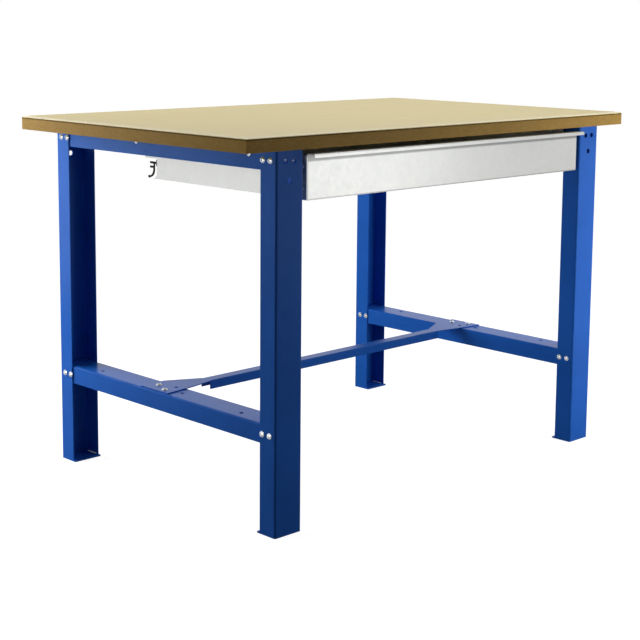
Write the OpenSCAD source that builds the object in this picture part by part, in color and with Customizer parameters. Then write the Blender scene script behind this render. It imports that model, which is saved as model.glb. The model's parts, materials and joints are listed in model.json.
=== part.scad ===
// Steel-framed workbench with a wooden top and one wide drawer on rollers.
// X runs along the front edge, Y from front to back and Z up. The origin is on the floor,
// midway between the four anchor holes in the feet.

/* [Worktop] */
// Length of the board along the front
top_length = 1290; // [1100:10:1500]
// Depth of the board from front to back
top_depth = 800; // [760:10:900]
// Thickness of the board
top_thickness = 32; // [27:1:45]
// Height of the working surface above the floor
bench_height = 850; // [760:10:950]
// Chamfer along every edge of the board
top_chamfer = 1.5; // [0.5:0.5:4]

/* [Legs] */
// Reach of the board past the legs at each end
end_overhang = 90; // [60:5:120]
// Reach of the board past the legs at the front and at the back
front_overhang = 10; // [0:1:20]
// Width of a leg across its web
leg_width = 75; // [70:1:90]
// Depth of a leg along its flanges
leg_depth = 48; // [48:1:60]
// Sheet thickness of a leg
leg_sheet = 2.5; // [1.5:0.5:3]
// Outer radius of a leg's two bends
leg_bend = 4; // [3.5:0.5:6]
// Gap between a leg's top and the board
leg_top_gap = 1; // [0.5:0.5:3]
// Diameter of the three spare holes near the top of each web
web_hole_d = 12; // [7:0.5:13]
// Spacing of the two upper spare holes
web_hole_spacing = 25; // [20:1:34]
// Depth of the two upper spare holes below the board
web_hole_depth = 23; // [18:1:26]
// Drop from the two upper spare holes to the third
web_hole_drop = 40; // [30:1:60]

/* [Feet] */
// Thickness of a foot plate
foot_plate = 4; // [3:0.5:8]
// Reach of a foot plate past the open side of its leg
foot_reach = 8; // [4:1:25]
// Diameter of the floor-anchor hole
anchor_hole_d = 11; // [8:0.5:14]
// Distance of the anchor hole from the web's outer face
anchor_from_web = 32; // [28:1:36]

/* [Rails] */
// Height of a side rail along its flanges
rail_height = 42; // [36:1:50]
// Sheet thickness of a side rail
rail_sheet = 2.5; // [1.5:0.5:3]
// Outer radius of a side rail's two bends
rail_bend = 4; // [3.5:0.5:6]
// Gap between a side rail's flange and the leg's flange
rail_side_fit = 0.25; // [0.1:0.05:0.5]
// Gap between a side rail's end and the leg's web
rail_end_gap = 1.5; // [1:0.5:3]
// Height of the lower side rails' upper face above the floor
lower_rail_top = 240; // [150:2:400]
// Distance of the board-screw holes from the middle of the rail
rail_hole_reach = 252; // [200:2:300]
// Shift of the board-screw holes outwards from the rail's centre line
rail_hole_shift = 10; // [0:1:14]
// Diameter of every hole in the rail's upper face
rail_hole_d = 10; // [9:0.5:11]
// Half spacing of the cross holes in the middle of the rail, along the rail
cross_hole_along = 43; // [36:1:50]
// Half spacing of the cross holes in the middle of the rail, across the rail
cross_hole_across = 17; // [14:1:18]
// Distance of the cross holes' centre behind the middle of the rail
cross_hole_back = 6; // [0:1:30]

/* [Frame bolts] */
// Shank diameter of the frame bolts
bolt_d = 8; // [6:1:8]
// Play round the shank in its hole, on the diameter
bolt_play = 1; // [0.5:0.25:1.5]
// Diameter of the domed head
bolt_head_d = 14; // [12.5:0.5:16]
// Height of the domed head
bolt_head_h = 4.4; // [3:0.2:6]
// Length of the shank under the head
bolt_length = 16; // [14:1:18]
// Distance of the first bolt from the leg's web
bolt_from_web = 19; // [17:1:22]
// Spacing of the two bolts in a flange
bolt_pitch = 23; // [17:0.5:24]
// Width of the hexagon socket in the domed head
socket_across = 5; // [3:0.5:6]
// Depth of the hexagon socket
socket_depth = 2.6; // [1:0.2:3]
// Width of the hexagon nuts across their flats
nut_across = 13; // [12:0.5:14]
// Height of the hexagon nuts
nut_h = 6.5; // [4:0.5:8]

/* [Stretcher] */
// Width of the stretcher's narrow part
stretcher_width = 34; // [24:1:45]
// Distance of the narrow part's centre line behind the cross holes' centre
stretcher_back = 11; // [0:1:14]
// Height of the stretcher along its flanges
stretcher_height = 20.5; // [12:0.5:40]
// Sheet thickness of the stretcher
stretcher_sheet = 2.5; // [1.5:0.5:3]
// Outer radius of the stretcher's two bends
stretcher_bend = 3.5; // [3.5:0.5:6]
// Length of each flat end that has no flanges, short of the side rail
stretcher_bare_end = 80; // [40:5:140]
// Gap between the stretcher's end and the rail's outer edge
stretcher_end_gap = 3; // [1:1:10]
// Reach of the flared end towards the back, from the cross holes' centre
flare_back = 68; // [56:1:90]
// Reach of the flared end towards the front, where it meets the rail
flare_front_inner = 20; // [16:1:24]
// Reach of the flared end towards the front, at its tip
flare_front_outer = 29; // [24:1:33]

/* [Board screws] */
// Shank diameter of the screws that hold the board
wood_screw_d = 8; // [6:1:8]
// Length of a board screw under its head
wood_screw_length = 28; // [20:1:28]
// Depth that a screw's hole runs on past the screw's point
wood_hole_spare = 2; // [1:0.5:3]
// Width of the screw's hexagon head across its flats
wood_screw_across = 13; // [10:1:14]
// Height of the screw's head
wood_screw_head_h = 5.5; // [4:0.5:7]
// Outer diameter of the washer under the head
washer_d = 18; // [15:1:20]
// Thickness of the washer
washer_h = 1.6; // [1:0.2:2.5]

/* [Drawer] */
// Gap between the drawer front and the leg on each side
drawer_side_gap = 12; // [11:0.5:13]
// Gap between the top of the drawer front and the board
drawer_top_gap = 10; // [6:1:18]
// Height of the drawer front
drawer_height = 98; // [92:1:130]
// Depth of the drawer from its face to its back wall
drawer_depth = 505; // [440:5:600]
// Sheet thickness of the drawer
drawer_sheet = 1.2; // [0.8:0.1:1.5]
// Outer radius of the bends round the drawer front
drawer_bend = 3; // [2:0.5:4]
// Depth of the edges folded back from the drawer front
front_return = 18; // [12:1:30]
// Reach of the pull lip in front of the drawer front
lip_reach = 22; // [18:1:30]
// Height of the pull lip's turned-down edge
lip_drop = 8; // [6:0.5:14]
// Height of the tray's walls above the drawer's underside
tray_wall = 88; // [80:1:92]

/* [Runners] */
// Sheet thickness of the fixed runner
runner_sheet = 1.5; // [1:0.25:2]
// Depth of the fixed runner below the top side rail
runner_drop = 15; // [12:1:17]
// Distance of the fixed runner's front end behind the leg
runner_front_gap = 4; // [2:1:20]
// Reach of the fixed runner behind the drawer's back wall
runner_rear_reach = 23; // [8:1:40]
// Gap between a moving runner's web and the edges of the fixed runner
runner_side_play = 1.3; // [1:0.1:2]
// Gap between a roller and what it rolls on
roller_play = 0.3; // [0.2:0.05:0.4]
// Radius of the rollers
roller_r = 10; // [9:0.5:11]
// Width of the rollers
roller_width = 7; // [5:0.5:8]
// Gap between a front roller and the web that carries it
roller_web_gap = 1; // [0.5:0.25:1.5]
// Diameter of the roller axles
axle_d = 5; // [4.5:0.5:6]
// Diameter of the thinner end by which an axle is riveted into its sheets
axle_spigot_d = 3.8; // [3:0.2:4]
// Diameter of an axle's flat head
axle_head_d = 8; // [7:0.5:9]
// Height of an axle's flat head
axle_head_h = 1; // [0.6:0.2:1.4]
// Distance of the front roller behind the fixed runner's front end
front_roller_inset = 12; // [12:1:30]
// Distance of the rear roller in front of the tray's back wall
rear_roller_inset = 12; // [12:1:30]
// Depth below the board of the bolts that hold the fixed runners
runner_bolt_depth = 12; // [11:1:13]
// Distance of the front runner bolt behind the fixed runner's front end
runner_bolt_front = 36; // [25:1:60]
// Distance of the rear runner bolt in front of the fixed runner's rear end
runner_bolt_rear = 58; // [25:1:90]
// Shank diameter of the runner bolts
runner_bolt_d = 6; // [5:1:6]
// Diameter of the runner bolt's domed head
runner_head_d = 11; // [10:0.5:12]
// Height of the runner bolt's domed head
runner_head_h = 3; // [2:0.5:4]
// Width of the hexagon socket in the runner bolt's head
runner_socket_across = 4; // [3:0.5:5]
// Depth of the hexagon socket in the runner bolt's head
runner_socket_depth = 1.5; // [0.5:0.25:2]
// Play round a runner bolt in its holes, on the diameter
runner_bolt_play = 0.8; // [0.4:0.2:1.2]
// Width of the runner bolt's nut across its flats
runner_nut_across = 10; // [8:1:10]
// Height of the runner bolt's nut
runner_nut_h = 5; // [3:0.5:6]
// Depth of a moving runner's web below the middle of the rollers
moving_web_drop = 6; // [4:1:8]
// Gap between a moving runner's flange and the legs it passes
moving_flange_gap = 1.5; // [1:0.25:3]
// Shank diameter of the rivets
rivet_d = 3.2; // [2.4:0.2:3.6]
// Diameter of a rivet's head
rivet_head_d = 6.5; // [5:0.5:8]
// Height of a rivet's head
rivet_head_h = 1; // [0.6:0.2:1.4]
// Height of the lower front rivet above the tray's underside
front_rivet_low = 24; // [10:1:40]
// Depth of the upper front rivet below the tray's rim
front_rivet_high = 18; // [8:1:30]
// Distance of a moving runner's end rivets from its ends
runner_rivet_inset = 26; // [20:1:40]

/* [Stop hooks] */
// Reach of the tray's curved lower ears behind its back wall
ear_reach = 16; // [10:1:18]
// Thickness of a stop hook
hook_sheet = 3; // [2:0.5:5]
// Height of a bar of the hook
hook_bar = 5; // [4:0.5:6]
// Height of a hook's upper bar above the drawer's underside
hook_height = 41; // [40:1:46]
// Reach of a hook behind the drawer
hook_reach = 30; // [28:1:40]
// Width of the foot that seats a hook on the tray's back wall
hook_foot = 14; // [8:1:24]

/* [Hidden] */
$fn = 48;
cut = 1;                        // overshoot of a cutting tool past a face
sides = [-1, 1];
axle_play = 0.08;               // radial running clearance in a roller's bore
rivet_fit = 0.1;                // play of an axle or a rivet in its sheet, on the diameter
thread_fit = 0.1;               // play of a bolt in its nut, on the diameter
screw_fit = 0.2;                // play of a board screw in the board, on the diameter
washer_fit = 0.4;               // play of a board screw in its washer, on the diameter
bolt_stub = 2;                  // length of a runner bolt that shows past its nut
sheet_gap = 1;                  // gap between two sheets' ends that don't touch

paint_blue = "#3564BE";
board_tan = "#CFC093";
zinc = "#D4D6D8";
galvanised = "#DCDDDC";
nylon = "#E8E6DC";
black_plastic = "#1C1C1E";

// Frame
board_bottom = bench_height - top_thickness;
leg_x = top_length / 2 - end_overhang - leg_width / 2;
leg_face_y = top_depth / 2 - front_overhang;
leg_inner_x = leg_x - leg_width / 2;
leg_open_y = leg_face_y - leg_depth;
rail_width = leg_width - 2 * leg_sheet - 2 * rail_side_fit;
rail_length = 2 * (leg_face_y - leg_sheet - rail_end_gap);
rail_inner_x = leg_x - rail_width / 2;
rail_outer_x = leg_x + rail_width / 2;
rail_tops = [board_bottom, lower_rail_top];
bolt_ys = [leg_face_y - bolt_from_web, leg_face_y - bolt_from_web - bolt_pitch];
bolt_hole_d = bolt_d + bolt_play;

// Stretcher
stretcher_top = lower_rail_top + stretcher_sheet;
stretcher_flange_end = rail_inner_x - stretcher_bare_end;
stretcher_end = rail_outer_x - stretcher_end_gap;
stretcher_bolt_spots = [[leg_x + cross_hole_across, 0], [leg_x, cross_hole_along]];

// Drawer
drawer_half = leg_inner_x - drawer_side_gap;
drawer_top = board_bottom - drawer_top_gap;
drawer_bottom = drawer_top - drawer_height;
drawer_face_y = -leg_face_y;
tray_half = drawer_half - drawer_sheet;
tray_front_y = drawer_face_y + drawer_sheet;
tray_back_y = drawer_face_y + drawer_depth;
tray_bottom = drawer_bottom + drawer_sheet;
tray_height = tray_wall - drawer_sheet;

// Runners
runner_bottom = board_bottom - rail_height - runner_drop;
roller_z = runner_bottom + runner_sheet + roller_play + roller_r;
moving_flange_z = roller_z + roller_r + roller_play;
runner_ceiling = moving_flange_z + drawer_sheet + 2 * roller_play;
runner_web_x = rail_inner_x - runner_sheet;
runner_bolt_z = board_bottom - runner_bolt_depth;
runner_web_top = runner_bolt_z + runner_head_d / 2;
runner_lip_x = drawer_half + runner_side_play;
runner_front_y = -leg_open_y + runner_front_gap;
runner_rear_y = tray_back_y + runner_rear_reach;
runner_bolt_ys = [runner_front_y + runner_bolt_front, runner_rear_y - runner_bolt_rear];
runner_bolt_length = rail_outer_x - runner_web_x + runner_nut_h + bolt_stub;
front_roller_y = runner_front_y + front_roller_inset;
rear_roller_y = tray_back_y - rear_roller_inset;
front_roller_x = runner_web_x - roller_web_gap - roller_width / 2;
rear_roller_x = runner_lip_x + roller_width / 2;
moving_flange_x = leg_inner_x - moving_flange_gap;
moving_front_y = drawer_face_y + front_return + sheet_gap;
rivet_hole_d = rivet_d + rivet_fit;
spigot_hole_d = axle_spigot_d + rivet_fit;
runner_hole_d = runner_bolt_d + runner_bolt_play;

// Flat-bottomed block with its two upper corners rounded, its top at y = 0.
module bent_block(width, height, bend) {
    translate([-width / 2 + bend, -height]) square([width - 2 * bend, height]);
    translate([-width / 2, -height]) square([width, height - bend]);
    for (s = sides) translate([s * (width / 2 - bend), -bend]) circle(r = bend);
}

// Section of a folded channel, open towards -y.
module channel_section(width, height, sheet, bend) {
    difference() {
        bent_block(width, height, bend);
        translate([0, -sheet]) bent_block(width - 2 * sheet, height, bend - sheet);
    }
}

// Bar or drill along X, centred on the origin.
module x_cylinder(length, d) {
    rotate([0, 90, 0]) cylinder(h = length, d = d, center = true);
}

// Spherical cap that stands on z = 0.
module dome(d, h) {
    ball_r = (h * h + d * d / 4) / (2 * h);
    rotate_extrude() intersection() {
        translate([0, h - ball_r]) circle(r = ball_r);
        square([d / 2, h]);
    }
}

// Domed bolt whose head stands on z = 0 and whose shank points down.
module dome_bolt(d, length, head_d, head_h, across, depth) {
    difference() {
        dome(head_d, head_h);
        translate([0, 0, head_h - depth]) cylinder(h = depth + cut, d = across / cos(30), $fn = 6);
    }
    translate([0, 0, -length]) cylinder(h = length, d = d);
}

// Hexagon nut that stands on z = 0.
module hex_nut(across, height, bore) {
    difference() {
        cylinder(h = height, d = across / cos(30), $fn = 6);
        translate([0, 0, -cut]) cylinder(h = height + 2 * cut, d = bore);
    }
}

// Turns a piece that points along +Z so that it points along X, to the right for dir = 1.
module along_x(dir) {
    rotate([0, dir * 90, 0]) children();
}

// Board with a chamfer on all its edges.
module worktop() {
    size = [top_length, top_depth, top_thickness];
    hole_depth = wood_screw_length - rail_sheet - washer_h + wood_hole_spare;
    color(board_tan) difference() {
        translate([0, 0, board_bottom + top_thickness / 2]) intersection() {
            linear_extrude(size.z, center = true) chamfered_rectangle(size.x, size.y);
            rotate([90, 0, 0]) linear_extrude(size.y, center = true) chamfered_rectangle(size.x, size.z);
            rotate([90, 0, 90]) linear_extrude(size.x, center = true) chamfered_rectangle(size.y, size.z);
        }
        for (spot = board_screw_spots())
            translate([spot.x, spot.y, board_bottom - cut])
                cylinder(h = hole_depth + cut, d = wood_screw_d + screw_fit);
    }
}

module chamfered_rectangle(a, b) {
    c = top_chamfer;
    polygon([
        [-a / 2 + c, -b / 2], [a / 2 - c, -b / 2], [a / 2, -b / 2 + c], [a / 2, b / 2 - c],
        [a / 2 - c, b / 2], [-a / 2 + c, b / 2], [-a / 2, b / 2 - c], [-a / 2, -b / 2 + c]
    ]);
}

function board_screw_spots() =
    [for (sx = sides, sy = sides) [sx * (leg_x + rail_hole_shift), sy * rail_hole_reach]];

// Folded leg: its web faces outwards, its flanges point to the middle of the bench.
module leg(side, end) {
    color(paint_blue) difference() {
        translate([side * leg_x, end * leg_face_y, foot_plate])
            rotate([0, 0, end > 0 ? 0 : 180])
                linear_extrude(board_bottom - leg_top_gap - foot_plate)
                    channel_section(leg_width, leg_depth, leg_sheet, leg_bend);
        for (top = rail_tops, y = bolt_ys)
            translate([side * leg_x, end * y, top - rail_height / 2])
                x_cylinder(leg_width + 2 * cut, bolt_hole_d);
        for (spot = [[-0.5, 0], [0.5, 0], [0, web_hole_drop / web_hole_spacing]] * web_hole_spacing)
            translate([side * leg_x + spot.x, end * leg_face_y, board_bottom - web_hole_depth - spot.y])
                rotate([90, 0, 0]) cylinder(h = 4 * leg_sheet, d = web_hole_d, center = true);
    }
}

// Flat foot plate under a leg, with its anchor hole. Two of its corners follow the leg's bends.
module foot(side, end) {
    color(paint_blue) translate([side * leg_x, end * leg_face_y, 0])
        rotate([0, 0, end > 0 ? 0 : 180]) linear_extrude(foot_plate) difference() {
            bent_block(leg_width, leg_depth + foot_reach, leg_bend);
            translate([0, -anchor_from_web]) circle(d = anchor_hole_d);
        }
}

// Side rail between a front leg and a back leg: the upper and the lower ones are alike,
// but only the upper ones are drilled for the drawer runners.
module side_rail(side, top, drilled) {
    color(paint_blue) difference() {
        translate([side * leg_x, 0, top]) rotate([90, 0, 0])
            linear_extrude(rail_length, center = true)
                channel_section(rail_width, rail_height, rail_sheet, rail_bend);
        for (end = sides, y = bolt_ys)
            translate([side * leg_x, end * y, top - rail_height / 2]) x_cylinder(leg_width, bolt_hole_d);
        for (end = sides)
            rail_hole(side * (leg_x + rail_hole_shift), end * rail_hole_reach, top);
        for (s = sides) {
            rail_hole(side * leg_x + s * cross_hole_across, cross_hole_back, top);
            rail_hole(side * leg_x, cross_hole_back + s * cross_hole_along, top);
        }
        if (drilled) for (y = runner_bolt_ys)
            translate([side * leg_x, y, runner_bolt_z]) x_cylinder(leg_width, runner_hole_d);
    }
}

module rail_hole(x, y, top) {
    translate([x, y, top - rail_sheet - cut]) cylinder(h = rail_sheet + 2 * cut, d = rail_hole_d);
}

// Channel between the two lower rails. Its flat ends flare out, mostly towards the back.
module stretcher() {
    color(paint_blue) translate([0, cross_hole_back, 0]) difference() {
        union() {
            translate([0, stretcher_back, stretcher_top]) rotate([90, 0, 90])
                linear_extrude(2 * stretcher_flange_end, center = true)
                    channel_section(stretcher_width, stretcher_height, stretcher_sheet, stretcher_bend);
            for (side = sides) mirror([side > 0 ? 0 : 1, 0, 0])
                translate([0, 0, lower_rail_top]) linear_extrude(stretcher_sheet) stretcher_end_outline();
        }
        for (side = sides) {
            stretcher_hole(side * (leg_x - cross_hole_across), 0);
            for (spot = stretcher_bolt_spots) stretcher_hole(side * spot.x, spot.y);
        }
    }
}

module stretcher_end_outline() {
    front = stretcher_back - stretcher_width / 2;
    back = stretcher_back + stretcher_width / 2;
    lap = stretcher_bend;
    polygon([
        [stretcher_flange_end - lap, front + lap], [stretcher_flange_end, front],
        [rail_inner_x, -flare_front_inner], [stretcher_end, -flare_front_outer],
        [stretcher_end, flare_back], [rail_inner_x, flare_back],
        [stretcher_flange_end, back], [stretcher_flange_end - lap, back - lap]
    ]);
}

module stretcher_hole(x, y) {
    translate([x, y, lower_rail_top - cut]) cylinder(h = stretcher_sheet + 2 * cut, d = rail_hole_d);
}

// Domed bolts through the legs' flanges into the rails, two at each end of each rail flange.
module frame_bolts() {
    color(zinc) each_frame_bolt() translate([0, 0, leg_width / 2])
        dome_bolt(bolt_d, bolt_length, bolt_head_d, bolt_head_h, socket_across, socket_depth);
}

module frame_nuts() {
    inner_face = rail_width / 2 - rail_sheet;
    color(zinc) each_frame_bolt() translate([0, 0, inner_face - nut_h])
        hex_nut(nut_across, nut_h, bolt_d + thread_fit);
}

// Places its children at the middle of the leg, pointing out through one of its flanges.
module each_frame_bolt() {
    for (side = sides, end = sides, top = rail_tops, y = bolt_ys, dir = sides)
        translate([side * leg_x, end * y, top - rail_height / 2]) along_x(dir) children();
}

module stretcher_bolts() {
    color(zinc) each_stretcher_bolt() translate([0, 0, stretcher_top])
        dome_bolt(bolt_d, bolt_length, bolt_head_d, bolt_head_h, socket_across, socket_depth);
}

module stretcher_nuts() {
    color(zinc) each_stretcher_bolt() translate([0, 0, lower_rail_top - rail_sheet - nut_h])
        hex_nut(nut_across, nut_h, bolt_d + thread_fit);
}

module each_stretcher_bolt() {
    for (side = sides, spot = stretcher_bolt_spots)
        translate([side * spot.x, cross_hole_back + spot.y, 0]) children();
}

// Hexagon-headed screws that hold the board down on to the top rails.
module board_screws() {
    under_head = board_bottom - rail_sheet - washer_h;
    point = wood_screw_d;
    color(zinc) for (spot = board_screw_spots()) translate([spot.x, spot.y, under_head]) {
        translate([0, 0, -wood_screw_head_h])
            cylinder(h = wood_screw_head_h, d = wood_screw_across / cos(30), $fn = 6);
        cylinder(h = wood_screw_length - point, d = wood_screw_d);
        translate([0, 0, wood_screw_length - point]) cylinder(h = point, d1 = wood_screw_d, d2 = 1);
    }
}

module board_washers() {
    color(zinc) for (spot = board_screw_spots())
        translate([spot.x, spot.y, board_bottom - rail_sheet - washer_h]) difference() {
            cylinder(h = washer_h, d = washer_d);
            translate([0, 0, -cut]) cylinder(h = washer_h + 2 * cut, d = wood_screw_d + washer_fit);
        }
}

// Fixed runner: a tall web on the rail's inner flange, and a channel for the rollers under it.
module runner_fixed(side) {
    length = runner_rear_y - runner_front_y;
    web_height = runner_web_top - runner_bottom;
    lip = runner_web_x - runner_lip_x;
    color(zinc) mirror([side > 0 ? 0 : 1, 0, 0]) difference() {
        union() {
            translate([runner_web_x, runner_front_y, runner_bottom])
                cube([runner_sheet, length, web_height]);
            for (z = [runner_bottom, runner_ceiling]) translate([runner_lip_x, runner_front_y, z])
                cube([lip + runner_sheet / 2, length, runner_sheet]);
        }
        for (y = runner_bolt_ys)
            translate([runner_web_x, y, runner_bolt_z]) x_cylinder(4 * runner_sheet, runner_hole_d);
        translate([runner_web_x, front_roller_y, roller_z]) x_cylinder(4 * runner_sheet, spigot_hole_d);
    }
}

// Through bolts that clamp each fixed runner to its top rail.
module runner_bolts() {
    color(zinc) for (side = sides, y = runner_bolt_ys)
        translate([side * rail_outer_x, y, runner_bolt_z]) along_x(side)
            dome_bolt(runner_bolt_d, runner_bolt_length, runner_head_d, runner_head_h,
                runner_socket_across, runner_socket_depth);
}

module runner_nuts() {
    color(zinc) for (side = sides, y = runner_bolt_ys)
        translate([side * (runner_web_x - runner_nut_h), y, runner_bolt_z]) along_x(side)
            hex_nut(runner_nut_across, runner_nut_h, runner_bolt_d + thread_fit);
}

// Shouldered axle that points along +X from the sheet's face: its thin end is riveted into the
// sheet behind it, and its flat head keeps the roller on.
module axle(length, grip) {
    along_x(1) {
        translate([0, 0, -grip]) cylinder(h = grip, d = axle_spigot_d);
        cylinder(h = length, d = axle_d);
        translate([0, 0, length]) cylinder(h = axle_head_h, d = axle_head_d);
    }
}

module front_axles() {
    length = roller_web_gap + roller_width + roller_play;
    color(zinc) for (side = sides) mirror([side > 0 ? 0 : 1, 0, 0])
        translate([runner_web_x, front_roller_y, roller_z]) mirror([1, 0, 0]) axle(length, runner_sheet);
}

module rear_axles() {
    length = rear_roller_x + roller_width / 2 + roller_play - drawer_half;
    color(zinc) for (side = sides) mirror([side > 0 ? 0 : 1, 0, 0])
        translate([drawer_half, rear_roller_y, roller_z]) axle(length, 2 * drawer_sheet);
}

// Nylon roller with a bore and a shallow dished face on each side.
module roller(side, x, y) {
    dish = 1;
    rim = 2;
    color(nylon) translate([side * x, y, roller_z]) rotate([0, 90, 0]) difference() {
        cylinder(h = roller_width, r = roller_r, center = true);
        cylinder(h = roller_width + 2 * cut, d = axle_d + 2 * axle_play, center = true);
        for (s = sides) translate([0, 0, s * roller_width / 2]) difference() {
            cylinder(h = 2 * dish, r = roller_r - rim, center = true);
            cylinder(h = 2 * dish + cut, r = axle_head_d / 2, center = true);
        }
    }
}

// Open tray, folded from one sheet, with rounded corners behind the drawer front's bends.
module drawer_tray() {
    depth = tray_back_y - tray_front_y;
    color(galvanised) difference() {
        union() {
            translate([0, tray_front_y, tray_bottom]) rotate([0, 0, 180])
                linear_extrude(tray_height) bent_block(2 * tray_half, depth, drawer_bend);
            for (side = sides) translate([side * (tray_half - drawer_sheet / 2), 0, 0]) tray_ear();
        }
        translate([0, tray_front_y + drawer_sheet, tray_bottom + drawer_sheet]) rotate([0, 0, 180])
            linear_extrude(tray_height) bent_block(
                2 * (tray_half - drawer_sheet), depth - 2 * drawer_sheet, drawer_bend - drawer_sheet);
        for (side = sides) {
            translate([side * tray_half, rear_roller_y, roller_z])
                x_cylinder(4 * drawer_sheet, spigot_hole_d);
            for (spot = front_rivet_spots())
                translate([side * tray_half, spot.x, spot.y]) x_cylinder(4 * drawer_sheet, rivet_hole_d);
            for (y = runner_rivet_ys())
                translate([side * tray_half, y, roller_z]) x_cylinder(4 * drawer_sheet, rivet_hole_d);
        }
    }
}

// Side sheet that runs on behind the back wall at the bottom, with a hollow curved edge.
module tray_ear() {
    translate([0, tray_back_y, tray_bottom]) rotate([90, 0, 90])
        linear_extrude(drawer_sheet, center = true) difference() {
            translate([-drawer_sheet / 2, 0]) square([ear_reach + drawer_sheet / 2, ear_reach]);
            translate([ear_reach, ear_reach]) circle(r = ear_reach);
        }
}

// Drawer front: edges folded back, top edge folded forward and down into a pull lip.
module drawer_front() {
    lip_width = lip_reach + drawer_sheet;
    color(galvanised) difference() {
        union() {
            translate([0, drawer_face_y, drawer_bottom]) rotate([0, 0, 180])
                linear_extrude(drawer_height - drawer_bend)
                    channel_section(2 * drawer_half, front_return, drawer_sheet, drawer_bend);
            translate([0, drawer_face_y + drawer_sheet - lip_width / 2, drawer_top]) rotate([90, 0, 90])
                linear_extrude(2 * drawer_half, center = true)
                    channel_section(lip_width, lip_drop, drawer_sheet, drawer_bend);
            translate([-drawer_half + drawer_bend, drawer_face_y + drawer_sheet / 2, drawer_bottom])
                cube([2 * (drawer_half - drawer_bend), front_return - drawer_sheet / 2, drawer_sheet]);
        }
        for (side = sides, spot = front_rivet_spots())
            translate([side * drawer_half, spot.x, spot.y]) x_cylinder(4 * drawer_sheet, rivet_hole_d);
    }
}

function front_rivet_spots() = [
    for (z = [tray_bottom + front_rivet_low, tray_bottom + tray_height - front_rivet_high])
        [drawer_face_y + front_return - rivet_head_d / 2 - sheet_gap, z]
];

function runner_rivet_ys() =
    let (first = moving_front_y + runner_rivet_inset, last = rear_roller_y - runner_rivet_inset)
    [first, (first + last) / 2, last];

// Moving runner: riveted to the tray's side, its top flange rides on the front roller.
module runner_moving(side) {
    length = tray_back_y - moving_front_y;
    web_bottom = roller_z - moving_web_drop;
    web_height = moving_flange_z + drawer_sheet - web_bottom;
    color(zinc) mirror([side > 0 ? 0 : 1, 0, 0]) difference() {
        union() {
            translate([tray_half, moving_front_y, web_bottom]) cube([drawer_sheet, length, web_height]);
            translate([tray_half, moving_front_y, moving_flange_z])
                cube([moving_flange_x - tray_half, length, drawer_sheet]);
        }
        translate([drawer_half, rear_roller_y, roller_z]) x_cylinder(4 * drawer_sheet, spigot_hole_d);
        for (y = runner_rivet_ys())
            translate([drawer_half, y, roller_z]) x_cylinder(4 * drawer_sheet, rivet_hole_d);
    }
}

// Rivet through two sheets, its domed head outwards from the given face.
module rivet(side, y, z) {
    grip = 2 * drawer_sheet;
    translate([side * drawer_half, y, z]) along_x(side) {
        dome(rivet_head_d, rivet_head_h);
        translate([0, 0, -grip]) cylinder(h = grip, d = rivet_d);
    }
}

module drawer_rivets() {
    color(zinc) for (side = sides, spot = front_rivet_spots()) rivet(side, spot.x, spot.y);
}

module runner_rivets() {
    color(zinc) for (side = sides, y = runner_rivet_ys()) rivet(side, y, roller_z);
}

// Black stop hook on the tray's back wall: a foot, two bars and a curved tongue with a knob.
module stop_hook(side) {
    tongue = 4;
    knob_r = 3.2;
    post = 3;
    neck_y = hook_reach / 3;
    bow_r = hook_reach - neck_y;
    tip_z = knob_r;
    low_z = hook_height - 2 * hook_bar;
    color(black_plastic) mirror([side > 0 ? 0 : 1, 0, 0])
        translate([tray_half - hook_sheet, tray_back_y, drawer_bottom]) {
            rotate([90, 0, 90]) linear_extrude(hook_sheet) {
                translate([0, hook_height - hook_bar]) square([hook_reach - tongue, hook_bar]);
                translate([neck_y, low_z - hook_bar]) square([hook_reach - tongue - neck_y, hook_bar]);
                translate([neck_y, low_z - hook_bar]) square([post, 3 * hook_bar]);
                translate([neck_y, tip_z + bow_r]) square([tongue, low_z - tip_z - bow_r]);
                intersection() {
                    translate([hook_reach, tip_z + bow_r]) difference() {
                        circle(r = bow_r);
                        circle(r = bow_r - tongue);
                    }
                    translate([neck_y, tip_z]) square([bow_r, bow_r]);
                }
                translate([hook_reach, tip_z + tongue / 2]) circle(r = knob_r);
            }
            translate([hook_sheet - hook_foot, 0, hook_height - 2 * hook_bar])
                cube([hook_foot, hook_sheet, 3 * hook_bar]);
        }
}

worktop();
leg(-1, -1);  // leg_front_left
leg(1, -1);  // leg_front_right
leg(-1, 1);  // leg_back_left
leg(1, 1);  // leg_back_right
foot(-1, -1);  // foot_front_left
foot(1, -1);  // foot_front_right
foot(-1, 1);  // foot_back_left
foot(1, 1);  // foot_back_right
side_rail(-1, board_bottom, true);  // top_rail_left
side_rail(1, board_bottom, true);  // top_rail_right
side_rail(-1, lower_rail_top, false);  // lower_rail_left
side_rail(1, lower_rail_top, false);  // lower_rail_right
stretcher();
frame_bolts();
frame_nuts();
stretcher_bolts();
stretcher_nuts();
board_screws();
board_washers();
runner_fixed(-1);  // runner_fixed_left
runner_fixed(1);  // runner_fixed_right
runner_bolts();
runner_nuts();
front_axles();
roller(-1, front_roller_x, front_roller_y);  // front_roller_left
roller(1, front_roller_x, front_roller_y);  // front_roller_right
drawer_tray();
drawer_front();
runner_moving(-1);  // runner_moving_left
runner_moving(1);  // runner_moving_right
rear_axles();
roller(-1, rear_roller_x, rear_roller_y);  // rear_roller_left
roller(1, rear_roller_x, rear_roller_y);  // rear_roller_right
drawer_rivets();
runner_rivets();
stop_hook(-1);  // stop_hook_left
stop_hook(1);  // stop_hook_right
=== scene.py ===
# %% [markdown]
# # Wooden-top workbench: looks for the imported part
# The bench is a folded steel frame with a blue powder coat, a thick pressed-wood board, and one
# wide drawer of galvanised sheet that hangs on rollers. Its steel parts come from the CAD and stay
# as they are. Here they get their finishes, and the few pieces whose finer shape shows are modelled
# again in their own place: the board, the bolts and the rivets. Weld beads are added at the feet.

import json
import math

import bmesh
import bpy
from mathutils import Matrix, Vector


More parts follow.
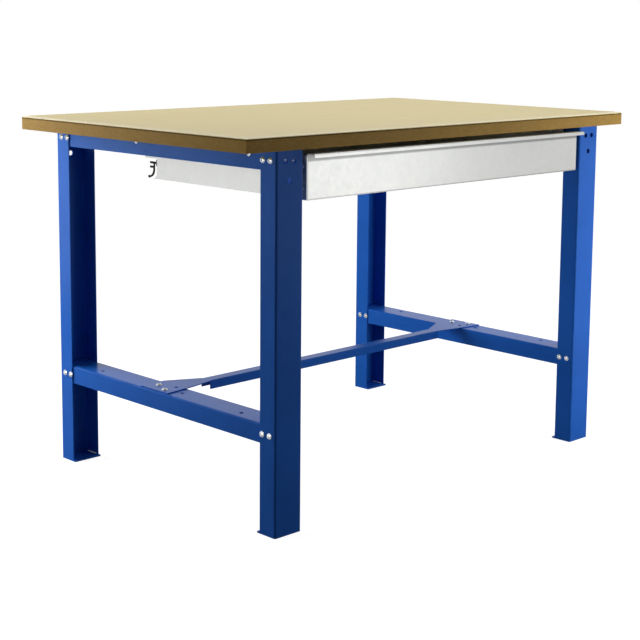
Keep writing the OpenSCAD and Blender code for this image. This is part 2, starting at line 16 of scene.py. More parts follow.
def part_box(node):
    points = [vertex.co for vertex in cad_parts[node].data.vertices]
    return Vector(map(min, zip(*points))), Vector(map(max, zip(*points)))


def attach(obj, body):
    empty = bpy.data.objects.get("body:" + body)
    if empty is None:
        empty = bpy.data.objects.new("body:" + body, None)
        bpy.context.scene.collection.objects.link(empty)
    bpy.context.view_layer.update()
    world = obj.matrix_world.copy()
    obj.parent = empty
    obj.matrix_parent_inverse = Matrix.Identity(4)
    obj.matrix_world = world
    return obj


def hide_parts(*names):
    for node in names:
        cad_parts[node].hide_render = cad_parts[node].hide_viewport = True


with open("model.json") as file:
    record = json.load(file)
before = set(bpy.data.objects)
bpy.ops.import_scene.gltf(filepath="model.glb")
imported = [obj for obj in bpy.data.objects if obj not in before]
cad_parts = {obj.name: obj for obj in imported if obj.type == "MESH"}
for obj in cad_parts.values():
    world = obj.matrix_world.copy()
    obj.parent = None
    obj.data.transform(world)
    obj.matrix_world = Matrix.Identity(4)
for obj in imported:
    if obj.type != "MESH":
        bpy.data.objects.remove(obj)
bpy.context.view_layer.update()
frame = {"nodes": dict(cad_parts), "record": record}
nodes = frame["nodes"]
MM = 0.001

# %% [markdown]
# ## The camera
# The photograph was taken from the front left, a little above the board, with a long lens that was
# kept nearly level. Such a view keeps the legs upright. A camera that is tilted down further would
# make them lean, so the lens is shifted instead. Place, direction and lens were worked out by least
# squares from some sixty corners and edges of the bench. A larger shift would fit the photograph a
# little better, but views from other sides keep the shift, and it would push the bench out of them.

# %% Place the camera
def add_camera(place, yaw, pitch, roll, focal_pixels, shift_up, width=640, sensor=36.0):
    """Camera from a place in metres, its angles in radians, and its focal length in pixels."""
    reach = math.cos(pitch)
    forward = Vector((reach * math.sin(yaw), reach * math.cos(yaw), -math.sin(pitch)))
    level = Vector((math.cos(yaw), -math.sin(yaw), 0))
    upright = level.cross(forward)
    right = level * math.cos(roll) + upright * math.sin(roll)
    up = upright * math.cos(roll) - level * math.sin(roll)
    bpy.ops.object.camera_add()
    camera = bpy.context.object
    camera.name = "camera"
    turn = Matrix((right, up, -forward)).transposed()
    camera.matrix_world = Matrix.Translation(place) @ turn.to_4x4()
    camera.data.sensor_width = sensor
    camera.data.lens = focal_pixels / width * sensor
    camera.data.shift_y = shift_up
    return camera


camera = add_camera(
    place=(-2.53355, -2.54539, 1.09133), yaw=0.77315, pitch=0.14305, roll=0.00839,
    focal_pixels=1452.54, shift_up=-0.15)
bpy.context.scene.camera = camera
bpy.context.scene.view_settings.view_transform = "Standard"
print("camera lens in mm:", round(camera.data.lens, 1))

# %% [markdown]
# ## Helpers for finishes
# A finish here is a set of nodes: a colour with its small changes, a roughness and a bump, all read
# from the piece's own coordinates in metres. One function adds any node and joins it to others, so
# each finish below reads as a list of its steps. Colours are written as sRGB hex values, as a paint
# maker gives them, and one function turns them to the linear values that the renderer works with.

# %% Turn a hex colour to linear
def linear(hex_colour):
    """Linear red, green, blue and alpha of an sRGB hex colour."""
    parts = [int(hex_colour[i:i + 2], 16) / 255 for i in (1, 3, 5)]
    return [p / 12.92 if p <= 0.04045 else ((p + 0.055) / 1.055) ** 2.4 for p in parts] + [1.0]


def per_mm(size):
    """Scale at which a pattern on coordinates in metres repeats once in so many millimetres."""
    return 1000.0 / size


# %% Add one node
def add(tree, kind, settings=None, **sockets):
    """Adds a node, sets its properties, and fills or links its inputs: A0 is the first, A1 the next.

    The setting "stops" fills a colour ramp with pairs of a place and a hex colour.
    """
    node = tree.nodes.new("ShaderNode" + kind)
    for name, value in (settings or {}).items():
        if name != "stops":
            setattr(node, name, value)
            continue
        elements = node.color_ramp.elements
        for _ in value[2:]:
            elements.new(0.5)
        for element, (place, colour) in zip(elements, value):
            element.position, element.color = place, linear(colour)
    for name, value in sockets.items():
        key = int(name[1:]) if name[0] == "A" and name[1:].isdigit() else name.replace("_", " ")
        socket = node.inputs[key]
        if isinstance(value, bpy.types.NodeSocket):
            tree.links.new(value, socket)
        else:
            socket.default_value = value
    return node


# %% Start and end a finish
finishes = {}


def open_finish(name):
    """Empty material: its tree and the piece's own coordinates in metres."""
    material = bpy.data.materials.new(name)
    material.use_nodes = True
    material.node_tree.nodes.clear()
    finishes[name] = material
    return material.node_tree, add(material.node_tree, "TexCoord").outputs["Object"]


def close_finish(tree, **sockets):
    """Gives a finish its shader, with its sockets filled or linked, and its output."""
    shader = add(tree, "BsdfPrincipled", **sockets)
    add(tree, "OutputMaterial", A0=shader.outputs[0])
    print("finish with", len(tree.nodes), "nodes")


print("helpers ready")

# %% [markdown]
# ## Blue powder coat
# Polyester powder is sprayed dry on the folded steel and baked, so that it melts to one even skin.
# The eye sees a deep, slightly soft gloss. Close up the skin has the low, rounded waves known as
# orange peel, and here and there a fleck. Real orange peel is 1 to 2 mm across, which the picture
# can just show, so it is drawn at 2 mm. A wide, weak change of gloss stands for handling haze.

# %% Blue powder coat
tree, where = open_finish("polyester_powder_coat_blue")
haze = add(tree, "TexNoise", Vector=where, Scale=per_mm(130), Detail=3.0, Roughness=0.6).outputs[0]
flecks = add(tree, "TexNoise", Vector=where, Scale=per_mm(0.9), Detail=1.0).outputs[0]
peel = add(tree, "TexNoise", Vector=where, Scale=per_mm(2), Detail=2.0, Roughness=0.4).outputs[0]
deep = add(tree, "ValToRGB", {"stops": [(0.3, "#1E62C3"), (0.7, "#2468CD")]}, A0=haze).outputs[0]
pale = add(tree, "MapRange", A0=flecks, A1=0.68, A2=0.8, A4=0.6).outputs[0]
coat = add(tree, "Mix", {"data_type": "RGBA"}, A0=pale, A6=deep, A7=linear("#4C7CD6")).outputs[2]
gloss = add(tree, "MapRange", A0=haze, A3=0.24, A4=0.36).outputs[0]
bump = add(tree, "Bump", Strength=0.12, Distance=0.0003, Height=peel).outputs[0]
close_finish(tree, Base_Color=coat, Roughness=gloss, IOR=1.38, Specular_IOR_Level=0.12, Normal=bump)

# %% [markdown]
# ## Pressed board
# The worktop is a board of pressed wood fibre under a clear seal. Its faces show a smooth tan skin,
# in which short fibres and faint clouds can just be made out. The cut edges are open end grain of
# fibre and glue, which drinks the seal and turns dark brown, darkest in the dense layer right under
# the face. The arrises are rubbed with fine sandpaper, so they are pale and smooth, and made paler
# still as a painted highlight. So these are three finishes, and each face of the board is given one of
# them.

# %% Board face
tree, where = open_finish("sealed_fibreboard_face")
clouds = add(tree, "TexNoise", Vector=where, Scale=per_mm(60), Detail=4.0, Roughness=0.6).outputs[0]
stretched = add(tree, "Mapping", Vector=where, Scale=(0.35, 1.0, 1.0)).outputs[0]
fibres = add(
    tree, "TexNoise", Vector=stretched, Scale=per_mm(2.5), Detail=3.0, Roughness=0.65).outputs[0]
grit = add(tree, "TexNoise", Vector=where, Scale=per_mm(0.8), Detail=1.0).outputs[0]
skin = add(
    tree, "ValToRGB", {"stops": [(0.3, "#D3C180"), (0.5, "#D5C382"), (0.7, "#D8C687")]},
    A0=clouds).outputs[0]
fibre_share = add(tree, "MapRange", A0=fibres, A1=0.55, A2=0.75, A4=0.35).outputs[0]
skin = add(tree, "Mix", {"data_type": "RGBA"}, A0=fibre_share, A6=skin, A7=linear("#B8A464")).outputs[2]
grit_share = add(tree, "MapRange", A0=grit, A1=0.66, A2=0.78, A4=0.4).outputs[0]
skin = add(tree, "Mix", {"data_type": "RGBA"}, A0=grit_share, A6=skin, A7=linear("#E3D8B0")).outputs[2]
gloss = add(tree, "MapRange", A0=fibres, A3=0.42, A4=0.58).outputs[0]
bump = add(tree, "Bump", Strength=0.1, Distance=0.0002, Height=fibres).outputs[0]
close_finish(tree, Base_Color=skin, Roughness=gloss, IOR=1.47, Normal=bump)

# %% Board edge
board_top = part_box("worktop")[1].z
dense_layer = 7.5 * MM
tree, where = open_finish("sealed_fibreboard_edge")
bands = add(tree, "Mapping", Vector=where, Scale=(0.25, 0.25, 1.0)).outputs[0]
chips = add(tree, "TexVoronoi", Vector=bands, Scale=per_mm(1.6), Randomness=1.0).outputs["Color"]
chip_shade = add(tree, "SeparateColor", A0=chips).outputs[0]
soak = add(tree, "TexNoise", Vector=where, Scale=per_mm(45), Detail=3.0).outputs[0]
core = add(
    tree, "ValToRGB", {"stops": [(0.0, "#A98744"), (0.5, "#B38F4D"), (1.0, "#BD9854")]},
    A0=chip_shade).outputs[0]
soak_share = add(tree, "MapRange", A0=soak, A4=0.4).outputs[0]
core = add(tree, "Mix", {"data_type": "RGBA"}, A0=soak_share, A6=core, A7=linear("#9C7A36")).outputs[2]
height = add(tree, "SeparateXYZ", A0=where).outputs[2]
dense = add(
    tree, "MapRange", {"interpolation_type": "SMOOTHSTEP"},
    A0=height, A1=board_top - dense_layer, A2=board_top - dense_layer * 0.75, A4=0.8).outputs[0]
core = add(tree, "Mix", {"data_type": "RGBA"}, A0=dense, A6=core, A7=linear("#5E4718")).outputs[2]
gloss = add(tree, "MapRange", A0=chip_shade, A3=0.45, A4=0.6).outputs[0]
bump = add(tree, "Bump", Strength=0.2, Distance=0.0003, Height=chip_shade).outputs[0]
close_finish(tree, Base_Color=core, Roughness=gloss, IOR=1.47, Specular_IOR_Level=0.05, Normal=bump)

# %% Board arris
tree, where = open_finish("rubbed_fibreboard_arris_highlight")
nicks = add(tree, "TexNoise", Vector=where, Scale=per_mm(12), Detail=4.0).outputs[0]
# Cream paler than the face: partly the rubbed arris, partly a painted highlight along the edge.
rubbed_and_highlight = add(
    tree, "ValToRGB", {"stops": [(0.3, "#FAE8AC"), (0.6, "#FFF0BA"), (0.75, "#F2DE9E")]},
    A0=nicks).outputs[0]
gloss = add(tree, "MapRange", A0=nicks, A3=0.22, A4=0.3).outputs[0]
bump = add(tree, "Bump", Strength=0.06, Distance=0.0003, Height=nicks).outputs[0]
close_finish(tree, Base_Color=rubbed_and_highlight, Roughness=gloss, IOR=1.47, Normal=bump)

# %% [markdown]
# ## Galvanised sheet
# The drawer is folded from steel sheet with a hot-dip zinc coat that was rolled smooth. It looks
# nearly white because it mirrors the bright room with a soft blur. Crystals of zinc, the spangle,
# are 5 to 15 mm wide, and after the rolling they differ only a little in brightness and gloss. A
# strip of the drawer's face right under the pull lip is painted darker grey as the lip's shadow,
# and so is the lower bend of the face, as painted shade.

# %% Galvanised sheet
front_low, front_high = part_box("drawer_front")
lip_reach, lip_drop = 22 * MM, 8 * MM
# Heights of the painted shadow under the lip and of the painted shade on the lower bend.
lip_shadow_from, lip_shadow_fully = 11 * MM, 7 * MM
bend_shade_from, bend_shade_fully = 3.5 * MM, 1.5 * MM
tree, where = open_finish("galvanised_sheet")
spangle = add(tree, "TexVoronoi", Vector=where, Scale=per_mm(9), Randomness=1.0).outputs["Color"]
crystal = add(tree, "SeparateColor", A0=spangle).outputs[0]
clouds = add(tree, "TexNoise", Vector=where, Scale=per_mm(90), Detail=3.0, Roughness=0.5).outputs[0]
rolled = add(tree, "Mapping", Vector=where, Scale=(0.04, 1.0, 1.0)).outputs[0]
grain = add(tree, "TexNoise", Vector=rolled, Scale=per_mm(1.5), Detail=2.0).outputs[0]
zinc_skin = add(
    tree, "ValToRGB", {"stops": [(0.3, "#D6D7D4"), (0.7, "#DBDCD9")]}, A0=clouds).outputs[0]
crystal_share = add(tree, "MapRange", A0=crystal, A4=0.16).outputs[0]
zinc_skin = add(
    tree, "Mix", {"data_type": "RGBA"}, A0=crystal_share, A6=zinc_skin, A7=linear("#C8CACA")).outputs[2]
cloud_gloss = add(tree, "MapRange", A0=clouds, A3=0.34, A4=0.4).outputs[0]
crystal_gloss = add(tree, "MapRange", A0=crystal, A3=-0.02, A4=0.03).outputs[0]
gloss = add(tree, "Math", {"operation": "ADD"}, A0=cloud_gloss, A1=crystal_gloss).outputs[0]
place = add(tree, "SeparateXYZ", A0=where)
on_face = add(
    tree, "Math", {"operation": "COMPARE"}, A0=place.outputs[1], A1=front_low.y + lip_reach,
    A2=0.5 * MM).outputs[0]
# Painted shade: the face turns darker grey under the lip, as its shadow, and on its lower bend.
lip_shadow = add(
    tree, "MapRange", {"interpolation_type": "SMOOTHSTEP"}, A0=place.outputs[2],
    A1=front_high.z - lip_drop - lip_shadow_from, A2=front_high.z - lip_drop - lip_shadow_fully,
    A4=0.8).outputs[0]
bend_shade = add(
    tree, "MapRange", {"interpolation_type": "SMOOTHSTEP"}, A0=place.outputs[2],
    A1=front_low.z + bend_shade_from, A2=front_low.z + bend_shade_fully, A4=0.65).outputs[0]
painted_shade = add(tree, "Math", {"operation": "MAXIMUM"}, A0=lip_shadow, A1=bend_shade).outputs[0]
shade_on_face = add(tree, "Math", {"operation": "MULTIPLY"}, A0=on_face, A1=painted_shade).outputs[0]
# The grey below is the painted shadow and shade, mixed into the face only.
zinc_skin = add(
    tree, "Mix", {"data_type": "RGBA"}, A0=shade_on_face, A6=zinc_skin, A7=linear("#868887")).outputs[2]
bump = add(tree, "Bump", Strength=0.05, Distance=0.0001, Height=grain).outputs[0]
close_finish(tree, Base_Color=zinc_skin, Metallic=0.9, Roughness=gloss, Normal=bump)

# %% [markdown]
# ## Bright zinc, zinc spray, nylon and black polypropylene
# Bolts, nuts, axles and rivets are zinc plated and passivated, which gives a bright silver, slightly
# blue and in places warmer, with turning marks. Zinc spray is a pale grey paint full of zinc flakes,
# made near white here, partly as a painted glint.
# The rollers are moulded nylon: milky white, soft in gloss. The hooks are moulded black
# polypropylene with a fine spark-eroded grain.

# %% Bright zinc
tree, where = open_finish("bright_zinc_plating")
passivation = add(tree, "TexNoise", Vector=where, Scale=per_mm(6), Detail=2.0).outputs[0]
marks = add(tree, "TexNoise", Vector=where, Scale=per_mm(0.7), Detail=2.0, Roughness=0.7).outputs[0]
plate = add(
    tree, "ValToRGB", {"stops": [(0.3, "#E2E9F0"), (0.5, "#EBEFF2"), (0.7, "#F0F0EC")]},
    A0=passivation).outputs[0]
gloss = add(tree, "MapRange", A0=marks, A3=0.14, A4=0.24).outputs[0]
bump = add(tree, "Bump", Strength=0.1, Distance=0.0001, Height=marks).outputs[0]
close_finish(tree, Base_Color=plate, Metallic=1.0, Roughness=gloss, Normal=bump)

# %% Zinc spray
tree, where = open_finish("zinc_spray_glint")
mist = add(tree, "TexNoise", Vector=where, Scale=per_mm(4), Detail=3.0).outputs[0]
flakes = add(tree, "TexNoise", Vector=where, Scale=per_mm(0.5), Detail=1.0).outputs[0]
# Near white: pale zinc spray, and partly a painted glint on the weld beads.
spray_and_glint = add(tree, "ValToRGB", {"stops": [(0.3, "#E4E6E8"), (0.7, "#F2F3F4")]}, A0=mist).outputs[0]
gloss = add(tree, "MapRange", A0=flakes, A3=0.5, A4=0.7).outputs[0]
bump = add(tree, "Bump", Strength=0.2, Distance=0.0001, Height=flakes).outputs[0]
close_finish(tree, Base_Color=spray_and_glint, Metallic=0.2, Roughness=gloss, Normal=bump)

# %% Nylon
tree, where = open_finish("moulded_nylon")
flow = add(tree, "TexNoise", Vector=where, Scale=per_mm(5), Detail=2.0).outputs[0]
scuffs = add(tree, "TexNoise", Vector=where, Scale=per_mm(0.8), Detail=3.0).outputs[0]
milky = add(tree, "ValToRGB", {"stops": [(0.3, "#E2DECF"), (0.7, "#EEEBE0")]}, A0=flow).outputs[0]
gloss = add(tree, "MapRange", A0=scuffs, A3=0.35, A4=0.55).outputs[0]
bump = add(tree, "Bump", Strength=0.1, Distance=0.0001, Height=scuffs).outputs[0]
close_finish(
    tree, Base_Color=milky, Roughness=gloss, IOR=1.53, Subsurface_Weight=0.1, Subsurface_Scale=0.002,
    Normal=bump)

# %% Black polypropylene
tree, where = open_finish("moulded_black_polypropylene")
erosion = add(tree, "TexNoise", Vector=where, Scale=per_mm(0.6), Detail=2.0).outputs[0]
flow = add(tree, "TexNoise", Vector=where, Scale=per_mm(14), Detail=2.0).outputs[0]
black = add(tree, "ValToRGB", {"stops": [(0.3, "#0D0D0F"), (0.7, "#161618")]}, A0=flow).outputs[0]
gloss = add(tree, "MapRange", A0=erosion, A3=0.42, A4=0.6).outputs[0]
bump = add(tree, "Bump", Strength=0.2, Distance=0.0001, Height=erosion).outputs[0]
close_finish(tree, Base_Color=black, Roughness=gloss, IOR=1.49, Specular_IOR_Level=0.25, Normal=bump)

# %% [markdown]
# ## Give the CAD parts their finishes
# The record names one material slot for each part. Each slot is one of the finishes above, so the
# parts are dressed slot by slot.

# %% Dress the CAD parts
slot_finish = {
    "board": "sealed_fibreboard_face", "blue_powder_coat": "polyester_powder_coat_blue",
    "bright_zinc": "bright_zinc_plating", "galvanised_sheet": "galvanised_sheet",
    "nylon": "moulded_nylon", "black_plastic": "moulded_black_polypropylene",
}
for row in frame["record"]["subparts"]:
    mesh = nodes[row["node"]].data
    mesh.materials.clear()
    mesh.materials.append(finishes[slot_finish[row["material_slot"]]])
print("dressed", len(nodes), "CAD parts")

# %% [markdown]
# ## Helpers for new pieces
# A new piece starts as a primitive of its real size at its real place. Everything is deselected
# first, because an operator acts on all that is selected. Faces are then picked in edit mode by
# where they are or where they look, and shaped. At the end the piece is named, given its finish
# and the body that it moves with, and it takes the place of its CAD part.

# %% Start, pick and finish
def begin(adder, **settings):
    """Adds a primitive with nothing else selected and opens it in edit mode with no face picked."""
    bpy.ops.object.select_all(action="DESELECT")
    adder(**settings)
    bpy.ops.object.transform_apply(location=True, rotation=True, scale=True)
    bpy.ops.object.mode_set(mode="EDIT")
    bpy.ops.mesh.select_all(action="DESELECT")
    return bpy.context.object


def pick(kind, test):
    """Selects the faces, edges or corners of the open mesh that pass a test, and no others."""
    bpy.ops.mesh.select_mode(type={"faces": "FACE", "edges": "EDGE", "verts": "VERT"}[kind])
    bpy.ops.mesh.select_all(action="DESELECT")
    mesh = bmesh.from_edit_mesh(bpy.context.object.data)
    for part in getattr(mesh, kind):
        part.select = bool(test(part))
    mesh.select_flush_mode()
    bmesh.update_edit_mesh(bpy.context.object.data)


def finish_piece(piece, name, finish, slot, body, *replaced):
    """Names a piece, gives it its finish if it has none, and fastens it to its body."""
    if piece.mode == "EDIT":
        bpy.ops.object.mode_set(mode="OBJECT")
    piece.name = piece.data.name = name
    if finish:
        piece.data.materials.clear()
        piece.data.materials.append(finishes[finish])
    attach(piece, body)
    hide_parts(*replaced)
    piece.data.calc_loop_triangles()
    print("made", name, "with", len(piece.data.loop_triangles), "triangles")


# %% [markdown]
# ## The worktop board
# The real board is sawn square and its arrises are only rubbed with sandpaper, which also wears a
# narrow strip of the top to a slight slope. So the top of a box of the board's size is inset, its rim
# is let down a little, and the level edges are bevelled with three steps for the rounding. The
# upright corners stay as sharp as the saw left them. Flat faces, rubbed upper arrises with their
# painted highlight, and dark edges then get three different finishes. Bevelling all level edges in
# one go mitres them at the corners, which chamfering each edge by hand wouldn't.

# %% Model the board
low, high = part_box("worktop")
rubbed_strip, rubbed_drop, arris_radius = 8 * MM, 2.2 * MM, 1.3 * MM
near = 0.1 * MM
board = begin(
    bpy.ops.mesh.primitive_cube_add, size=1, location=(low + high) / 2, scale=high - low)
pick("faces", lambda face: face.normal.z > 0.9)
bpy.ops.mesh.inset(thickness=rubbed_strip)
pick("verts", lambda vert: vert.co.z > high.z - near
     and not low.x + near < vert.co.x < high.x - near)
bpy.ops.transform.translate(value=(0, 0, -rubbed_drop))
pick("edges", lambda edge: max(vert.co.z for vert in edge.verts) < high.z - near
     and abs(edge.verts[0].co.z - edge.verts[1].co.z) < near)
bpy.ops.mesh.bevel(offset=arris_radius, segments=3, affect="EDGES")
bpy.ops.object.mode_set(mode="OBJECT")
for name in ("sealed_fibreboard_face", "sealed_fibreboard_edge", "rubbed_fibreboard_arris_highlight"):
    board.data.materials.append(finishes[name])
bpy.ops.object.mode_set(mode="EDIT")
narrow = max(face.area for face in board.data.polygons) / 2
upwards = 0.05
for index, test in (
    (1, lambda face: face.normal.z < upwards and face.calc_area() < narrow),
    (2, lambda face: face.normal.z >= upwards and face.calc_area() < narrow),
):
    pick("faces", test)
    board.active_material_index = index
    bpy.ops.object.material_slot_assign()
finish_piece(board, "board", None, "board", "frame", "worktop")

# %% [markdown]
# ## Turned pieces and their places
# Bolts and rivets are round, so each is made as on a lathe: a circle is extruded upwards and scaled
# from ring to ring along its half section. Spinning a drawn half section would give the same shape,
# but a list of radii and heights is easier to read and to change. The CAD holds one part with many
# equal bolts. Its separate solids give the places, so that each copy sits exactly on its own.

# %% Turn a piece on the lathe
soft_angle = math.radians(35)


def turned(rings, sides=24):
    """Round piece on the Z axis through rings, each a radius and a height in millimetres."""
    (radius, height), *rest = rings
    piece = begin(
        bpy.ops.mesh.primitive_circle_add, vertices=sides, radius=radius * MM,
        location=(0, 0, height * MM), fill_type="NGON")
    bpy.ops.mesh.select_all(action="SELECT")
    for next_radius, next_height in rest:
        rise = (0, 0, (next_height - height) * MM)
        bpy.ops.mesh.extrude_region_move(TRANSFORM_OT_translate={"value": rise})
        share = next_radius / radius
        bpy.ops.transform.resize(value=(share, share, 1), center_override=(0, 0, next_height * MM))
        radius, height = next_radius, next_height
    bpy.ops.mesh.select_all(action="SELECT")
    bpy.ops.mesh.normals_make_consistent(inside=False)
    bpy.ops.object.mode_set(mode="OBJECT")
    bpy.ops.object.shade_smooth_by_angle(angle=soft_angle)
    return piece


# %% Cut a hexagon socket
def cut_socket(piece, across, top, depth):
    """Cuts a hexagon socket into the top of a piece with a boolean, and deletes the cutter."""
    bpy.ops.object.select_all(action="DESELECT")
    corner_radius = across / 2 / math.cos(math.radians(30)) * MM
    bpy.ops.mesh.primitive_cylinder_add(
        vertices=6, radius=corner_radius, depth=2 * depth * MM, location=(0, 0, top * MM))
    cutter = bpy.context.object
    bpy.ops.object.transform_apply(location=True, rotation=True, scale=True)
    bpy.ops.object.select_all(action="DESELECT")
    bpy.context.view_layer.objects.active = piece
    piece.select_set(True)
    bpy.ops.object.modifier_add(type="BOOLEAN")
    piece.modifiers[-1].object = cutter
    piece.modifiers[-1].operation = "DIFFERENCE"
    bpy.ops.object.modifier_apply(modifier=piece.modifiers[-1].name)
    bpy.data.objects.remove(cutter)


# %% Find the separate solids of a CAD part
def solids(node):
    """Corner points of each separate solid of a CAD part, one list for each."""
    mesh = bmesh.new()
    mesh.from_mesh(nodes[node].data)
    bmesh.ops.remove_doubles(mesh, verts=mesh.verts, dist=0.001 * MM)
    left = set(mesh.verts)
    groups = []
    for first in mesh.verts:
        if first not in left:
            continue
        left.remove(first)
        group = [first]
        for vert in group:
            fresh = {edge.other_vert(vert) for edge in vert.link_edges} & left
            left -= fresh
            group.extend(sorted(fresh, key=lambda v: v.index))
        groups.append([vert.co.copy() for vert in group])
    mesh.free()
    return groups


def seats(node, axis, shank):
    """Where each fastener of a CAD part sits: a matrix from the Z axis and the head's underside."""
    places = []
    for points in solids(node):
        low = Vector([min(p[i] for p in points) for i in range(3)])
        high = Vector([max(p[i] for p in points) for i in range(3)])
        middle = (low + high) / 2
        across = [i for i in range(3) if i != axis]
        shank_reach = 0.6 * shank * MM
        head = [
            p[axis] for p in points
            if math.hypot(*[p[i] - middle[i] for i in across]) > shank_reach]
        outwards = 1 if min(head) + max(head) > 2 * middle[axis] else -1
        middle[axis] = min(head) if outwards > 0 else max(head)
        way = Vector([outwards * (i == axis) for i in range(3)])
        turn = Vector((0, 0, 1)).rotation_difference(way).to_matrix().to_4x4()
        places.append(Matrix.Translation(middle) @ turn)
    print(node, "has", len(places), "solids")
    return places


# %% Set copies of a model in their places
def set_out(model, places, name, finish, slot, body, *replaced):
    """Gives each place its own copy of a model, joins the copies, and fastens them to their body."""
    bpy.ops.object.select_all(action="DESELECT")
    for place in places:
        copy = model.copy()
        copy.data = model.data.copy()
        bpy.context.collection.objects.link(copy)
        copy.data.transform(place)
        copy.select_set(True)
        bpy.context.view_layer.objects.active = copy
    bpy.ops.object.join()
    finish_piece(bpy.context.object, name, finish, slot, body, *replaced)


# %% [markdown]
# ## Button-head bolts
# The frame is bolted with M8 screws with low domed heads and a hexagon socket, and the runners with
# M6 ones. The head is a flat-topped dome, the shank carries a rolled thread. The thread is drawn as
# rings instead of a helix, because past a nut, where a few turns show, the eye can't tell them
# apart. The thread's pitch is the standard one.

# %% Model the bolts
def button_bolt(shank, length, pitch, head, head_height, socket, socket_depth):
    """Bolt with its head on z = 0 and its shank below, sizes in millimetres."""
    groove, rim, plain_end, dome_steps = 0.6 * pitch, 0.3, 3, 6
    root, crest = shank / 2 - groove, shank / 2 - 0.1
    rings = [(root, -length), (crest, -length + groove)]
    for turn in range(int((length - plain_end) / pitch)):
        start = -length + groove + turn * pitch
        rings += [
            (crest, start + 0.2 * pitch), (root, start + 0.5 * pitch), (crest, start + 0.9 * pitch)]
    rings += [(crest, -0.1), (shank / 2, 0), (head / 2 - rim, 0), (head / 2, rim)]
    ball = (head ** 2 / 4 + head_height ** 2) / (2 * head_height)
    for step in range(1, dome_steps + 1):
        radius = head / 2 - step * (head / 2 - 0.7 * socket) / dome_steps
        rings.append((radius, math.sqrt(ball ** 2 - radius ** 2) - ball + head_height))
    top = rings[-1][1]
    bolt = turned(rings)
    cut_socket(bolt, socket, top, min(socket_depth, top - 0.5))
    return bolt


big_bolt = button_bolt(
    shank=8, length=16, pitch=1.25, head=14, head_height=4.4, socket=5, socket_depth=2.6)
set_out(big_bolt, seats("frame_bolts", axis=0, shank=8), "frame_button_bolts",
        "bright_zinc_plating", "bright_zinc", "frame", "frame_bolts")
set_out(big_bolt, seats("stretcher_bolts", axis=2, shank=8), "stretcher_button_bolts",
        "bright_zinc_plating", "bright_zinc", "frame", "stretcher_bolts")
bpy.data.objects.remove(big_bolt)

# %% Model the runner bolts
along = [point.x for point in solids("runner_bolts")[0]]
head_height = 3
shank_length = (max(along) - min(along)) / MM - head_height
small_bolt = button_bolt(
    shank=6, length=shank_length, pitch=1, head=11, head_height=head_height,
    socket=4, socket_depth=1.5)
set_out(small_bolt, seats("runner_bolts", axis=0, shank=6), "runner_button_bolts",
        "bright_zinc_plating", "bright_zinc", "frame", "runner_bolts")
bpy.data.objects.remove(small_bolt)

# %% [markdown]
# ## Blind rivets
# The tray, its front and its moving runners are joined with blind rivets. Pulling the mandrel swells
# the far end and leaves a low domed flange with a small hole in its middle, so the lathe profile
# goes up over the dome and down again into the hole.

# %% Model the rivets
rivet = turned([
    (1.5, -2.4), (1.6, 0), (3.15, 0), (3.25, 0.15), (3.0, 0.45), (2.5, 0.75), (1.8, 0.95), (1.2, 1.0),
    (1.0, 0.9), (0.9, 0.3)])
for name, node in (("front_blind_rivets", "drawer_rivets"), ("runner_blind_rivets", "runner_rivets")):
    set_out(rivet, seats(node, axis=0, shank=3.2), name, "bright_zinc_plating", "bright_zinc",
            "drawer", node)
bpy.data.objects.remove(rivet)

# %% [markdown]
# ## Weld beads at the feet
# Each foot plate is welded to its leg from inside the channel, with a short bead along each flange.
# The photograph shows one as a pale dash in the dark of each rear leg. The bead is dressed with
# pale zinc spray, as is done against rust, its near white partly a painted glint. A hand-laid
# bead is a row of overlapping drops, about 3 mm apart, in the corner of the two sheets. One drop
# is a small ball cut by the planes of the flange and the plate, and the bead is a row of its copies.

# %% Model the weld beads
def weld_drop(radius, flange):
    """Quarter of a ball that lies in the corner at the origin, inside a flange on one side."""
    drop = begin(bpy.ops.mesh.primitive_uv_sphere_add, segments=16, ring_count=8, radius=radius)
    for plane in ((flange, 0, 0), (0, 0, 1)):
        bpy.ops.mesh.select_all(action="SELECT")
        bpy.ops.mesh.bisect(plane_co=(0, 0, 0), plane_no=plane, use_fill=True, clear_inner=True)
    bpy.ops.mesh.select_all(action="SELECT")
    bpy.ops.mesh.normals_make_consistent(inside=False)
    bpy.ops.object.mode_set(mode="OBJECT")
    bpy.ops.object.shade_smooth_by_angle(angle=soft_angle)
    return drop


leg_sheet, drop_radius, bead_length, drops = 2.5 * MM, 2.6 * MM, 30 * MM, 11
for flange in (-1, 1):
    drop = weld_drop(drop_radius, flange)
    places = []
    for end in ("front", "back"):
        for side in ("left", "right"):
            low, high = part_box(f"leg_{end}_{side}")
            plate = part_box(f"foot_{end}_{side}")[1].z
            corner = low.x + leg_sheet if flange > 0 else high.x - leg_sheet
            middle = (low.y + high.y) / 2
            for i in range(drops):
                along = middle + (i / (drops - 1) - 0.5) * bead_length
                places.append(Matrix.Translation((corner, along, plate)))
    name = "weld_beads_" + ("right" if flange < 0 else "left")
    set_out(drop, places, name, "zinc_spray_glint", "bright_zinc", "frame")
    bpy.data.objects.remove(drop)

# %% [markdown]
# ## Floor and light
# The bench stands on a plain white floor in a bright studio. Two soft lamps stand near the far left
# leg and near the right front leg, so the near corner between them is the darkest, as in the
# photograph. A third hangs overhead, to the right, and lights the board. None of them is seen in
# mirrored light, so the paint keeps its depth. White cards are seen in mirrored light alone, and give
# the drawer's sheet, the bolts and the upper bends their soft sheen.
#
# The world around is white to the eye and weak as a source of light. In mirrored light it is bright
# at the back, which lays a pale haze on the upper faces of the board and the rails, and dim in front,
# where a photographer's room is dark. The floor glows to the eye a little less near the bench than far
# away, where the lamps don't reach it, so that it runs into the white background. In mirrored light
# it is grey under the bench, which draws the lower bends of the sheet as thin grey lines.

